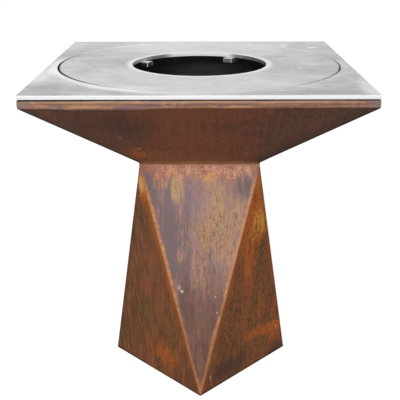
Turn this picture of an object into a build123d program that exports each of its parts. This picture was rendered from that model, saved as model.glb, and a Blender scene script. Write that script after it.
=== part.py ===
from build123d import *
from math import cos, hypot, radians, sin, sqrt
import os

# Square fire bowl of weathering steel on a twisted pedestal, with a thick steel top plate, a loose cooking
# ring and a fire grate. Millimetres, +Z up, -Y to the front, origin on the ground under the middle.

# Top plate and cooking ring
plate_side = 800.0
plate_thickness = 10.0
plate_margin = 24.0  # plate left outside the round opening, at the middle of each side
ring_gap = 4.5  # all round, between the ring and the opening that it lies in
ring_seat_width = 31.0  # how far the bowl's flange reaches under the ring
ring_hole_diameter = 360.0
edge_break = 0.6  # chamfer on the cut edges of the thick plate

# Pins under the plate that keep it square on the bowl
pin_diameter = 12.0
pin_length = 14.0
pin_clearance = 1.5  # to the edge of the bowl's flange

# Lugs under the ring, a shelf for a grill in its hole
lug_width = 25.0
lug_thickness = 12.0
lug_length = 50.0
lug_reach = 20.0  # past the edge of the hole
lug_start_angle = 60.0

# Bowl of folded sheet
bowl_base_side = 315.0
bowl_depth = 221.0  # top of the floor to top of the flange
bowl_sheet = 3.0
bowl_floor_thickness = 4.0
lip_height = 20.0
bend_inside_radius = 2.0
drain_diameter = 40.0

# Pedestal: its base is a square turned 45 degrees to its top
pedestal_base_side = 365.0
pedestal_height = 641.0  # panels alone
pedestal_top_thickness = 5.0
panel_sheet = 3.0
foot_rail_width = 30.0
foot_rail_thickness = 5.0

# Bolts that clamp the bowl to the pedestal
bolt_diameter = 10.0
bolt_clearance = 0.5  # radial, in plates and washers
bolt_edge_distance = 35.0
bolt_head_height = 6.4
bolt_tail = 2.6  # past the nut
hex_across_flats = 16.0
nut_height = 8.4
thread_clearance = 0.1
washer_diameter = 20.0
washer_thickness = 2.0

# Fire grate, small enough to lift out through the ring
grate_lift_clearance = 10.0  # corner of the grate to a lug
grate_rail_height = 25.0
grate_rail_thickness = 5.0
grate_bar_diameter = 10.0
grate_bar_count = 7
grate_leg_diameter = 12.0
grate_leg_height = 40.0

# Heights
floor_z = pedestal_height + pedestal_top_thickness
bowl_z = floor_z + bowl_floor_thickness
flange_z = bowl_z + bowl_depth
lip_z = flange_z - lip_height
grate_z = bowl_z + grate_leg_height

# Radii and half widths
opening_radius = plate_side / 2 - plate_margin
ring_radius = opening_radius - ring_gap
hole_radius = ring_hole_diameter / 2
lip_reach = plate_side / 2
flange_edge = opening_radius - ring_gap - ring_seat_width
bolt_reach = bowl_base_side / 2 - bolt_edge_distance
base_reach = pedestal_base_side / sqrt(2)
top_reach = bowl_base_side / sqrt(2)
pin_reach = flange_edge - pin_clearance - pin_diameter / 2
grate_side = sqrt(2) * (hole_radius - lug_reach - grate_lift_clearance)
grate_inside = grate_side - 2 * grate_rail_thickness

# Directions from +X of the four sides and of the four corners between them
sides = ("right", "back", "left", "front")
corners = ("back_right", "back_left", "front_left", "front_right")
side_angles = {side: 90 * turn for turn, side in enumerate(sides)}
corner_angles = {corner: 45 + 90 * turn for turn, corner in enumerate(corners)}

os.makedirs("parts", exist_ok=True)


def save(piece, name):
    """Label a finished piece and write it out."""
    piece.part.label = name
    export_step(piece.part, f"parts/{name}.step")


def around(radius, angle, height=0.0):
    """Point at a radius, an angle from +X and a height."""
    return Vector(radius * cos(radians(angle)), radius * sin(radians(angle)), height)


def flat_plane(radius, angle, height):
    """Level plane at that point, with its x axis pointing away from the middle."""
    return Plane(origin=around(radius, angle, height), x_dir=around(1, angle), z_dir=(0, 0, 1))


def quarter(angle):
    """The two upright planes that bound the quarter of the object around an angle, facing into it."""
    return [Plane(origin=(0, 0, 0), z_dir=around(1, angle + turn)) for turn in (-45, 45)]


def trim(planes):
    """Keep what lies in front of every plane."""
    for plane in planes:
        split(bisect_by=plane, keep=Keep.TOP)


# Pedestal panels: triangles with their point down on the four sides, and with their point up at the corners
def side_triangle(angle):
    """Base point and top corners of a side's panel, anticlockwise from outside."""
    right = around(top_reach, angle + 45, pedestal_height)
    left = around(top_reach, angle - 45, pedestal_height)
    return around(base_reach, angle), right, left


def corner_triangle(angle):
    """Top point and base corners of a corner's panel, anticlockwise from outside."""
    left = around(base_reach, angle - 45)
    right = around(base_reach, angle + 45)
    return around(top_reach, angle, pedestal_height), left, right


def outward(triangle):
    """Unit normal of a panel, away from the middle."""
    point, second, third = triangle
    return (second - point).cross(third - point).normalized()


def mitre(triangle, neighbour, ridge_end):
    """Plane through the ridge from a panel's point that halves the angle to its neighbour."""
    point, second, third = triangle
    across = (ridge_end - point).cross(outward(triangle) + outward(neighbour)).normalized()
    inside = (second + third) / 2 - point
    return Plane(origin=point, z_dir=across if across.dot(inside) > 0 else -across)


ground = Plane.XY
under_top = Plane(origin=(0, 0, pedestal_height), z_dir=(0, 0, -1))
overlength = 1 + 2 * panel_sheet / pedestal_height  # leaves sheet to trim level at the wide end


def pedestal_panel(name, angle, triangle, past_second, past_third):
    """One triangle of sheet, cut level at top and bottom and mitred to the panels past its two ridges."""
    point, second, third = triangle
    face = Plane(origin=point, x_dir=second - point, z_dir=outward(triangle))
    outline = [point, point + (second - point) * overlength, point + (third - point) * overlength]
    with BuildPart() as panel:
        with BuildSketch(face):
            with BuildLine():
                Polyline(*[face.to_local_coords(corner) for corner in outline], close=True)
            make_face()
        extrude(amount=-panel_sheet)
        trim([ground, under_top, *quarter(angle)])
        trim([mitre(triangle, past_second, second), mitre(triangle, past_third, third)])
    save(panel, name)


for side, angle in side_angles.items():
    pedestal_panel(
        f"pedestal_panel_{side}",
        angle,
        side_triangle(angle),
        corner_triangle(angle + 45),
        corner_triangle(angle - 45),
    )

for corner, angle in corner_angles.items():
    pedestal_panel(
        f"pedestal_panel_{corner}",
        angle,
        corner_triangle(angle),
        side_triangle(angle - 45),
        side_triangle(angle + 45),
    )

# Foot rails: flat bars welded inside the foot of the corner panels
corner_lean = (top_reach - pedestal_base_side / 2) / pedestal_height
rail_reach = pedestal_base_side / 2 - panel_sheet * hypot(1, corner_lean) - foot_rail_width / 2

for corner, angle in corner_angles.items():
    with BuildPart() as foot_rail:
        with BuildSketch(flat_plane(rail_reach, angle, 0)):
            Rectangle(foot_rail_width, pedestal_base_side)
        extrude(amount=foot_rail_thickness)
        trim(quarter(angle))
    save(foot_rail, f"foot_rail_{corner}")


# Pedestal top and bowl floor: square plates laid on each other, with a drain and bolt holes through both
def clamped_plate(height, thickness, joint_side):
    """Square plate with the drain and the bolt holes, chamfered where it meets the other plate."""
    with BuildPart() as plate:
        with BuildSketch(Plane.XY.offset(height)):
            Rectangle(bowl_base_side, bowl_base_side)
            Circle(drain_diameter / 2, mode=Mode.SUBTRACT)
            with PolarLocations(bolt_reach, len(side_angles)):
                Circle(bolt_diameter / 2 + bolt_clearance, mode=Mode.SUBTRACT)
        extrude(amount=thickness)
        joint_face = plate.faces().sort_by(Axis.Z)[joint_side]
        chamfer(joint_face.outer_wire().edges(), edge_break)
    return plate


underside, topside = 0, -1
save(clamped_plate(pedestal_height, pedestal_top_thickness, topside), "pedestal_top_plate")
save(clamped_plate(floor_z, bowl_floor_thickness, underside), "bowl_floor")

# Bowl walls: each is one folded sheet, sloping wall, upright lip and flange, mitred to its neighbours
wall_run = (lip_reach - bowl_base_side / 2) / (lip_z - bowl_z)
wall_foot = (bowl_base_side / 2 - bowl_sheet * wall_run, bowl_z - bowl_sheet)

for side, angle in side_angles.items():
    with BuildPart() as bowl_wall:
        with BuildSketch(Plane(origin=(0, 0, 0), x_dir=around(1, angle), z_dir=around(1, angle - 90))):
            with BuildLine():
                FilletPolyline(
                    (flange_edge, flange_z),
                    (lip_reach, flange_z),
                    (lip_reach, lip_z),
                    wall_foot,
                    radius=bend_inside_radius + bowl_sheet,
                )
                offset(amount=bowl_sheet, side=Side.RIGHT)
            make_face()
        extrude(amount=lip_reach, both=True)
        trim([Plane.XY.offset(bowl_z), *quarter(angle)])
    save(bowl_wall, f"bowl_wall_{side}")

# Clamp bolts, from inside the bowl down into the pedestal
head_z = bowl_z + washer_thickness
nut_top_z = pedestal_height - washer_thickness
nut_z = nut_top_z - nut_height

with BuildPart() as clamp_bolts:
    with BuildSketch(Plane.XY.offset(head_z)):
        with PolarLocations(bolt_reach, len(side_angles)):
            RegularPolygon(hex_across_flats / 2, 6, major_radius=False)
    extrude(amount=bolt_head_height)
    with BuildSketch(Plane.XY.offset(nut_z - bolt_tail)):
        with PolarLocations(bolt_reach, len(side_angles)):
            Circle(bolt_diameter / 2)
    extrude(amount=head_z - nut_z + bolt_tail)
save(clamp_bolts, "clamp_bolts")

with BuildPart() as clamp_washers:
    for height in (bowl_z, nut_top_z):
        with BuildSketch(Plane.XY.offset(height)):
            with PolarLocations(bolt_reach, len(side_angles)):
                Circle(washer_diameter / 2)
                Circle(bolt_diameter / 2 + bolt_clearance, mode=Mode.SUBTRACT)
        extrude(amount=washer_thickness)
save(clamp_washers, "clamp_washers")

with BuildPart() as clamp_nuts:
    with BuildSketch(Plane.XY.offset(nut_z)):
        with PolarLocations(bolt_reach, len(side_angles)):
            RegularPolygon(hex_across_flats / 2, 6, major_radius=False)
            Circle(bolt_diameter / 2 + thread_clearance, mode=Mode.SUBTRACT)
    extrude(amount=nut_height)
save(clamp_nuts, "clamp_nuts")

# Top plate: square, with the round opening that the cooking ring lies in
with BuildPart() as top_plate:
    with BuildSketch(Plane.XY.offset(flange_z)):
        Rectangle(plate_side, plate_side)
        Circle(opening_radius, mode=Mode.SUBTRACT)
    extrude(amount=plate_thickness)
    chamfer(top_plate.edges().group_by(Axis.Z)[-1], edge_break)
    chamfer(top_plate.edges().group_by(Axis.Z)[0], edge_break)
save(top_plate, "top_plate")

with BuildPart() as locating_pins:
    with BuildSketch(Plane.XY.offset(flange_z)):
        with GridLocations(2 * pin_reach, 2 * pin_reach, 2, 2):
            Circle(pin_diameter / 2)
    extrude(amount=-pin_length)
    chamfer(locating_pins.edges().group_by(Axis.Z)[0], edge_break)
save(locating_pins, "locating_pins")

# Cooking ring, with four lugs welded under the edge of its hole
with BuildPart() as cooking_ring:
    with BuildSketch(Plane.XY.offset(flange_z)):
        Circle(ring_radius)
        Circle(hole_radius, mode=Mode.SUBTRACT)
    extrude(amount=plate_thickness)
    chamfer(cooking_ring.edges().group_by(Axis.Z)[-1], edge_break)
    chamfer(cooking_ring.edges().group_by(Axis.Z)[0], edge_break)
save(cooking_ring, "cooking_ring")

lug_middle = hole_radius - lug_reach + lug_length / 2

for turn, corner in enumerate(corner_angles):
    with BuildPart() as grill_lug:
        with BuildSketch(flat_plane(lug_middle, lug_start_angle + 90 * turn, flange_z - lug_thickness)):
            Rectangle(lug_length, lug_width)
        extrude(amount=lug_thickness)
        chamfer(grill_lug.edges().filter_by(Axis.Z), edge_break)
    save(grill_lug, f"grill_lug_{corner}")

# Fire grate: four flat bars on edge, round bars across them and four legs on the bowl's floor
for side, angle in side_angles.items():
    between = side in ("left", "right")
    with BuildPart() as fire_grate_rail:
        with BuildSketch(flat_plane((grate_side - grate_rail_thickness) / 2, angle, grate_z)):
            Rectangle(grate_rail_thickness, grate_inside if between else grate_side)
        extrude(amount=grate_rail_height)
    save(fire_grate_rail, f"fire_grate_rail_{side}")

grate_bar_z = grate_z + grate_rail_height - grate_bar_diameter / 2
grate_bar_pitch = grate_inside / (grate_bar_count + 1)

with BuildPart() as fire_grate_bars:
    with BuildSketch(Plane.XZ):
        with Locations((0, grate_bar_z)):
            with GridLocations(grate_bar_pitch, 0, grate_bar_count, 1):
                Circle(grate_bar_diameter / 2)
    extrude(amount=grate_inside / 2, both=True)
save(fire_grate_bars, "fire_grate_bars")

leg_spacing = grate_side - grate_leg_diameter

with BuildPart() as fire_grate_legs:
    with BuildSketch(Plane.XY.offset(bowl_z)):
        with GridLocations(leg_spacing, leg_spacing, 2, 2):
            Circle(grate_leg_diameter / 2)
    extrude(amount=grate_leg_height)
save(fire_grate_legs, "fire_grate_legs")
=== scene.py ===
from functools import partial
import math

import bmesh
import bpy
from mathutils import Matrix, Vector, noise


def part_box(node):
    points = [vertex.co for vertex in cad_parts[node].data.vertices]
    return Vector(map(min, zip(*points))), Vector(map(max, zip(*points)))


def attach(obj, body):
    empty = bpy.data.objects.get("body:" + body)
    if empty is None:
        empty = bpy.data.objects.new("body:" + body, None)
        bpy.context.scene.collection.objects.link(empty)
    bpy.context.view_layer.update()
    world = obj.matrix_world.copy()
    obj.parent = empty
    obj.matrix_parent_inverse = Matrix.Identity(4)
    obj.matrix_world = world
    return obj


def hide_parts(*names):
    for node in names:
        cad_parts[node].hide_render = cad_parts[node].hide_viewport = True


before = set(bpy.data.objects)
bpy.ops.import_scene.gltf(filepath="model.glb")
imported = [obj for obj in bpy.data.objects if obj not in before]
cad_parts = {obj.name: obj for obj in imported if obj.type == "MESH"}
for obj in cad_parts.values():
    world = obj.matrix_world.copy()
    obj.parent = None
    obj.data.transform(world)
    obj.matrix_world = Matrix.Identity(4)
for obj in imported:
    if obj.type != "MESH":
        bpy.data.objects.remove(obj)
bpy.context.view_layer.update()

# Square fire bowl of weathering steel on a twisted pedestal,
# under a bare steel plate with a loose cooking ring. Metres, +Z up, -Y to the front.

SIDES = ("right", "back", "left", "front")
CORNERS = ("back_right", "back_left", "front_left", "front_right")

# Sizes taken from the frame
pedestal_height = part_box("pedestal_panel_front")[1].z
base_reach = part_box("pedestal_panel_back_right")[1].x
top_half_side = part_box("pedestal_top_plate")[1].x
top_reach = top_half_side * math.sqrt(2)
bowl_foot_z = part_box("bowl_wall_right")[0].z
flange_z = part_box("bowl_wall_right")[1].z
lip_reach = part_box("bowl_wall_right")[1].x
plate_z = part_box("top_plate")[1].z

# Sheet and bends
SHEET = 0.003
PEDESTAL_TOP = 0.005  # thickness of the pedestal's top plate
LIP_HEIGHT = 0.020
FLANGE_WIDTH = 0.0595
BEND_RADIUS = 0.005  # outside
BEND_STEPS = 4
UNDER_PLATE_SHADE_RISE = 0.0007  # from the flat of the lip up to the painted shade under the plate

# Ground-down welds along the ridges of the pedestal and the hips of the bowl
RIDGE_RADIUS = 0.005
RIDGE_WAVE = 0.35
RIDGE_WAVES_PER_METRE = 45.0
RIDGE_FADE = 0.020
RIDGE_END = 0.15  # share of the radius that is left at both ends
RIDGE_STEPS = 5
HIP_RADIUS = 0.0015
INNER_HIP_RADIUS = 0.0005
HIP_FADE = 0.030
HIP_AT_FOOT = 0.2  # share of the radius
HIP_AT_FLANGE = 0.02
HIP_STEPS = 5

# Bowl's slope
slope_drop = flange_z - LIP_HEIGHT - bowl_foot_z
slope_lean = math.atan2(lip_reach - top_half_side, slope_drop)  # from upright
fold_length = BEND_RADIUS * math.tan(slope_lean / 2)
slope_run = math.hypot(lip_reach - top_half_side, slope_drop) - fold_length
lip_flat = LIP_HEIGHT - fold_length - BEND_RADIUS
under_plate_shade_run = slope_run + BEND_RADIUS * slope_lean + lip_flat + UNDER_PLATE_SHADE_RISE

# Plate's opening, ring's hole and lugs
OPENING_RADIUS = 0.376
HOLE_RADIUS = 0.180
LUG_TURN = math.radians(60)
LUG_WIDTH = 0.025
LUG_TIP = 0.160  # from the middle
HIGHLIGHT_FULL = 0.0010  # width of the full painted highlight along the lugs' edges
HIGHLIGHT_ENDS = 0.0025  # width of all painted highlight there

# Fineness of the meshes
PANEL_ROWS = 96
PANEL_COLUMNS = 24
WALL_ROWS = 24
WALL_COLUMNS = 40
SHARP_ANGLE = math.radians(28)


def srgb(red, green, blue):
    """Colour written as it shows on a screen, 0 to 255, as the linear colour that a shader takes."""
    def linear(level):
        share = level / 255
        return share / 12.92 if share <= 0.04045 else ((share + 0.055) / 1.055) ** 2.4
    return linear(red), linear(green), linear(blue), 1.0


class Value:
    """A node's output. Arithmetic on it adds Math nodes to its finish."""

    def __init__(self, finish, socket):
        self.finish = finish
        self.socket = socket

    def calculate(self, operation, first, second=0.0):
        return self.finish.node("ShaderNodeMath", {"operation": operation}, {0: first, 1: second})

    def __add__(self, other):
        return self.calculate("ADD", self, other)

    def __sub__(self, other):
        return self.calculate("SUBTRACT", self, other)

    def __rsub__(self, other):
        return self.calculate("SUBTRACT", other, self)

    def __mul__(self, other):
        return self.calculate("MULTIPLY", self, other)

    def __abs__(self):
        return self.calculate("ABSOLUTE", self)

    __radd__ = __add__
    __rmul__ = __mul__


class Finish:
    """Node tree of a material or of the world, built node by node."""

    def __init__(self, owner, ending="ShaderNodeOutputMaterial"):
        self.owner = owner
        self.owner.use_nodes = True
        self.tree = owner.node_tree
        self.tree.nodes.clear()
        self.ending = ending

    def node(self, kind, settings=None, inputs=None, output=0):
        """Add a node, set it up, fill or link its sockets and give one of its outputs."""
        made = self.tree.nodes.new(kind)
        for name, setting in (settings or {}).items():
            setattr(made, name, setting)
        for name, given in (inputs or {}).items():
            if isinstance(given, Value):
                self.tree.links.new(given.socket, made.inputs[name])
            else:
                made.inputs[name].default_value = given
        return Value(self, made.outputs[output]) if made.outputs else None

    def attribute(self, name, output=2):
        return self.node("ShaderNodeAttribute", {"attribute_name": name}, output=output)

    def facing_up(self):
        """1 on faces that look up, -1 on those that look down and 0 on upright ones."""
        return axis(self.node("ShaderNodeNewGeometry", output=1), 2)

    def surface(self, colour, roughness, normal, **others):
        """End in a Principled shader, with underscores for the spaces in the names of other sockets."""
        inputs = {"Base Color": colour, "Roughness": roughness, "Normal": normal}
        inputs.update((name.replace("_", " "), given) for name, given in others.items())
        return self.end(self.node("ShaderNodeBsdfPrincipled", inputs=inputs))

    def end(self, shader):
        self.node(self.ending, inputs={"Surface": shader})
        return self.owner


def sheet_finish(name):
    """Finish of a sheet, with the place on it, how far across and up that is, and how far from an edge."""
    finish = Finish(bpy.data.materials.new(name))
    place = finish.attribute("sheet", 1)
    return finish, place, axis(place, 0), axis(place, 1), finish.attribute("edge")


def solid_finish(name):
    """Finish of a solid piece, with the place in the piece's own frame."""
    finish = Finish(bpy.data.materials.new(name))
    return finish, finish.node("ShaderNodeTexCoord", output=3)


def axis(place, index):
    return place.finish.node("ShaderNodeSeparateXYZ", inputs={0: place}, output=index)


def vector(operation, first, second=(0, 0, 0), output=0):
    settings = {"operation": operation}
    return first.finish.node("ShaderNodeVectorMath", settings, {0: first, 1: second}, output)


def length(given):
    return vector("LENGTH", given, output=1)


def smaller(first, second):
    return first.calculate("MINIMUM", first, second)


def larger(first, second):
    return first.calculate("MAXIMUM", first, second)


def rise(value, low, high):
    """0 below low, 1 above high and smooth between them."""
    limits = {"Value": value, "From Min": low, "From Max": high}
    return value.finish.node("ShaderNodeMapRange", {"interpolation_type": "SMOOTHSTEP"}, limits)


def fall(value, low, high):
    """1 below low, 0 above high and smooth between them."""
    return 1 - rise(value, low, high)


def cloud(place, waves, detail=3.0, roughness=0.55, distortion=0.0):
    """Smooth noise around 0.5, with so many waves per metre along each axis."""
    inputs = {
        "Vector": vector("MULTIPLY", place, waves),
        "Scale": 1.0,
        "Detail": detail,
        "Roughness": roughness,
        "Distortion": distortion,
    }
    return place.finish.node("ShaderNodeTexNoise", inputs=inputs)


def oval(place, sheet, across, up, half_width, half_height, ragged=0.0):
    """1 in the middle of an oval on the sheet of this number, falling to 0 at its rim."""
    away = vector("SUBTRACT", place, (across, up, sheet))
    away = vector("MULTIPLY", away, (1 / half_width, 1 / half_height, OTHER_SHEET))
    return fall(length(away) + ragged, OVAL_CORE, 1.0)


def mix(share, first, second):
    """Colour between two colours."""
    inputs = {0: share, 6: first, 7: second}
    return share.finish.node("ShaderNodeMix", {"data_type": "RGBA"}, inputs, output=2)


def tinted(share, colour, first, second):
    """Colour times a tint between two tints."""
    return vector("MULTIPLY", colour, mix(share, first, second))


def bump(height, distance):
    inputs = {"Height": height, "Distance": distance, "Strength": 1.0}
    return height.finish.node("ShaderNodeBump", inputs=inputs)


# Numbers that tell the sheets apart in the finishes
SHEET_STEP = 1.3
SHEETS = {name: SHEET_STEP * number for number, name in enumerate(SIDES + CORNERS)}
OTHER_SHEET = 9.0  # weight of that number, which keeps an oval off the other sheets
OVAL_CORE = 0.25  # share of an oval that is even

# How bright the ground welds of each side panel are painted: their pale crest is partly a painted
# highlight, dimmed on the ridges at the outline, where painted shade darkens the corner panels' edges
RIDGE_GLOW = {"right": 0.62, "back": 0.80, "left": 0.25, "front": 1.00}

# Tints that a colour is multiplied by
ROSE_TINT = (1.07, 0.95, 1.01, 1.0)
STRAW_TINT = (0.97, 1.02, 0.93, 1.0)

# Rust of the pedestal
# Slate-grey scale, its grey partly a painted sheen
SLATE = srgb(126, 110, 113)
PALE_SLATE_SHEEN = srgb(165, 145, 153)
PINK_GREY = srgb(176, 142, 133)
DUSK = srgb(108, 82, 78)
MAUVE = srgb(106, 76, 64)
PINK_BROWN = srgb(126, 92, 79)
TIP_BROWN = srgb(132, 90, 66)
LOW_PALE = srgb(152, 116, 100)
LOW_DARK = srgb(92, 70, 66)
TAN = srgb(198, 156, 130)
KHAKI = srgb(198, 166, 124)
HONEY = srgb(198, 158, 116)
GOLD = srgb(232, 176, 112)
BAND_PINK = srgb(230, 177, 150)
BAND_RED = srgb(164, 108, 90)
WELD_PALE = srgb(230, 180, 140)
WELD_TAN = srgb(208, 148, 102)
WELD_ORANGE = srgb(190, 114, 58)
WELD_PINK = srgb(202, 158, 134)
WELD_BROWN = srgb(150, 98, 66)
BROWN = srgb(138, 84, 46)
RED_BROWN = srgb(156, 86, 56)
UMBER = srgb(98, 63, 39)
OLIVE = srgb(92, 72, 40)
RUST_ORANGE = srgb(182, 98, 42)
RUST_YELLOW = srgb(212, 146, 58)
EDGE_DARK = srgb(66, 44, 38)
FOOT_DARK = srgb(44, 30, 26)
HAIR_DARK = srgb(76, 48, 30)
HAIR_LIGHT = srgb(158, 100, 58)
SCUFF = srgb(214, 204, 190)

# Rust, dirt and soot of the bowl, with painted shade and painted light
BOWL_BROWN = srgb(122, 72, 50)
BOWL_OLIVE = srgb(83, 58, 44)
BOWL_RED = srgb(146, 84, 58)
BOWL_DARK = srgb(70, 46, 38)
PALE_SPECK = srgb(150, 120, 106)
LIP_TAN = srgb(176, 138, 108)
LIP_MAUVE = srgb(132, 104, 106)
LIP_GREY = srgb(140, 119, 114)
LIP_ORANGE = srgb(184, 126, 84)
LIP_BROWN = srgb(124, 88, 72)
LIP_GOLD = srgb(192, 144, 108)
LIP_HIGHLIGHT = srgb(194, 158, 134)
# Dark line along the hips of the bowl, and painted shade under the plate
GRIME_AND_SHADE = srgb(38, 26, 24)
SOOT = srgb(94, 92, 88)
BROWN_SOOT = srgb(78, 68, 60)
PAINTED_LIFT_GREY = srgb(188, 187, 185)
LOWER_EDGE_PINK = srgb(214, 160, 132)
UPPER_EDGE_SHADE = srgb(150, 98, 72)

# Bare steel of the plate and the ring, with painted sheen, painted highlights, painted light and painted
# shade
ROLLED_GREY = srgb(172, 172, 173)
ROLLED_PALE = srgb(208, 208, 208)
BRUSHED_GREY = srgb(152, 152, 154)
SHINE = srgb(222, 222, 222)
DULL_STEEL = srgb(146, 146, 148)
POLISH_AND_HIGHLIGHT = srgb(240, 240, 240)
JOINT_SHADE = srgb(40, 37, 35)
CUT_STEEL = srgb(240, 240, 242)
WHITE = srgb(255, 255, 255)
# Painted light and shade on the wall of the ring's hole, left to right
HOLE_LEFT = srgb(196, 195, 194)
HOLE_FAR_LEFT = srgb(140, 139, 138)
HOLE_RIGHT = srgb(150, 149, 148)
HOLE_FAR_RIGHT = srgb(112, 111, 110)

# Lugs with painted shade and painted highlights, fire grate and fasteners
LUG_GREY = srgb(122, 119, 116)
LUG_DARK = srgb(92, 89, 86)
LUG_PALE = srgb(150, 146, 142)
LUG_SHADE = srgb(30, 28, 27)
LUG_HIGHLIGHT = srgb(246, 246, 245)
SCALE_BLACK = srgb(56, 52, 49)
SCALE_BROWN = srgb(92, 70, 58)
SCALE_GREY = srgb(126, 119, 112)
ZINC = srgb(172, 174, 178)
YELLOWED_ZINC = srgb(150, 146, 132)

# Floor
FLOOR_BOUNCE = srgb(190, 188, 186)
FLOOR_SHADED = srgb(200, 200, 200)


def weld_colour(place, up, bare):
    """Ground weld: orange where it has rusted, tan and pale where it is bare, browner near the foot; its
    pale crest is partly a painted highlight along the rounded ridge.
    """
    turns = cloud(place, (34, 34, 1), detail=4, roughness=0.65)
    flecks = cloud(place, (170, 120, 1), detail=3, roughness=0.65)
    colour = mix(rise(turns + (flecks - 0.5) * 0.6, 0.36, 0.58) * bare, WELD_ORANGE, WELD_TAN)
    colour = mix(rise(flecks, 0.52, 0.64) * 0.65, colour, WELD_BROWN)
    colour = mix(fall(flecks, 0.37, 0.47) * bare * 0.75, colour, WELD_PALE)
    return mix(fall(up + (turns - 0.5) * 0.3, 0.12, 0.38) * 0.45, colour, WELD_BROWN)


def side_panel_rust():
    """Side panels: slate scale with a painted sheen, tan runs, a pinkish band on top, a brown tip and welds
    that are partly a painted highlight.
    """
    finish, place, across, up, edge = sheet_finish("side_panel_rust")
    glow = finish.attribute("glow")
    slope_length = math.hypot(pedestal_height, base_reach - top_half_side)

    patches = cloud(place, (8, 4, 1), detail=4)
    runs = cloud(place, (44, 2.6, 1), detail=5, roughness=0.65)
    fine_runs = cloud(place, (190, 9, 1), detail=4, roughness=0.65)
    dashes = cloud(place, (90, 26, 1), detail=4, roughness=0.62)
    speckle = cloud(place, (190, 120, 1), detail=4, roughness=0.65)
    grain = cloud(place, (420, 300, 1), detail=3, roughness=0.7)
    stray = (runs - 0.5) * 1.6 + (dashes - 0.5) * 1.4
    front = partial(oval, place, SHEETS["front"])

    # Slate-grey scale on the front panel, its grey partly a painted sheen
    slate_area = front(-0.100, 0.45, 0.090, 0.30, stray)
    slate_area += front(0.108, 0.588, 0.050, 0.044, stray * 0.6) * 0.20
    slate_area += front(0.116, 0.572, 0.024, 0.040, stray * 0.4) * 0.14
    slate_area += front(-0.016, 0.540, 0.030, 0.075, stray * 0.5) * 0.42
    slate_area += front(-0.124, 0.560, 0.024, 0.060, stray * 0.3) * 0.5
    calm = 1 - slate_area * 0.75
    tan_area = front(0.052, 0.43, 0.074, 0.20, stray)
    tan_area += front(0.040, 0.545, 0.034, 0.085, stray)
    tan_area += front(0.004, 0.365, 0.050, 0.110, stray) * 0.6
    tan_area += front(0.104, 0.525, 0.036, 0.070, stray) * 0.8
    tan_area -= front(0.044, 0.366, 0.042, 0.070, stray)
    tan_area -= front(0.014, 0.410, 0.026, 0.050, stray) * 0.6
    tan_area += front(-0.050, 0.405, 0.020, 0.034, stray)
    tan_area += front(0.012, 0.462, 0.018, 0.065, stray * 0.6) * 1.2
    pink_area = front(0.000, 0.545, 0.075, 0.130, stray)
    pink_area += front(0.098, 0.490, 0.040, 0.090, stray) * 1.5
    pink_area += front(0.076, 0.370, 0.030, 0.100, stray)
    pink_area += front(-0.070, 0.520, 0.022, 0.050, stray * 0.5) * 0.9

    level = runs * 0.5 + patches * 0.3 + fine_runs * 0.3
    level = level - slate_area * 0.16 + tan_area * 0.10 + pink_area * 0.12
    colour = mix(rise(level, 0.44, 0.68), SLATE, PINK_GREY)
    colour = mix(rise(fine_runs, 0.50, 0.72) * calm * 0.35, colour, DUSK)
    low = fall(up + (patches - 0.5) * 0.16 + (runs - 0.5) * 0.12, 0.18, 0.44)
    low_colour = mix(rise(fine_runs * 0.3 + dashes * 0.4 + speckle * 0.3, 0.40, 0.60), PINK_BROWN, MAUVE)
    colour = mix(low * 0.92, colour, low_colour)
    tan = dashes * 0.7 + runs * 0.6 + fine_runs * 0.5 + speckle * 0.5 + tan_area * 0.155 - slate_area * 0.21
    tan = rise(tan, 1.20, 1.36) * rise(up + (runs - 0.5) * 0.2, 0.18, 0.34)
    colour = mix(tan * 0.90, colour, mix(rise(dashes + runs + tan_area * 0.12, 1.00, 1.20), TAN, HONEY))
    flaked = tan_area * fall(speckle + (dashes - 0.5) * 0.4, 0.40, 0.54) * fall(up, 0.46, 0.60)
    colour = mix(flaked * 0.26, colour, DUSK)
    # Painted sheen on the slate scale, high in the middle of the front panel
    slate_sheen = front(-0.010, 0.575, 0.130, 0.085, stray * 0.3)
    colour = mix(slate_sheen * 0.30, colour, PALE_SLATE_SHEEN)
    khaki = front(-0.058, 0.588, 0.022, 0.056, stray * 0.35) * 1.6
    khaki += front(0.048, 0.576, 0.030, 0.064, stray) * 0.9
    colour = mix(khaki * (0.4 + rise(fine_runs, 0.40, 0.60) * 0.6), colour, KHAKI)
    tip = fall(up + (patches - 0.5) * 0.06 + (runs - 0.5) * 0.06, 0.03, 0.16)
    colour = mix(tip * 0.8, colour, TIP_BROWN)
    colour = mix(rise(speckle * 0.6 + dashes * 0.4, 0.50, 0.64) * calm * 0.40, colour, DUSK)
    hairs = cloud(place, (320, 40, 1), detail=3, roughness=0.7)
    bold = calm * (0.42 + tan_area * 0.26) * (1 - rise(up, 0.48, 0.58) * 0.3)
    colour = mix(rise(hairs, 0.51, 0.64) * bold, colour, DUSK)
    colour = mix(fall(hairs, 0.36, 0.48) * bold, colour, mix(low, TAN, LOW_PALE))
    murk = cloud(place, (60, 12, 1), detail=4, roughness=0.65)
    murk += front(-0.024, 0.290, 0.036, 0.060, stray) * 0.10
    colour = mix(low * rise(murk, 0.50, 0.64) * 0.5, colour, LOW_DARK)
    colour = mix(low * fall(murk, 0.36, 0.48) * 0.4, colour, LOW_PALE)

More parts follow.
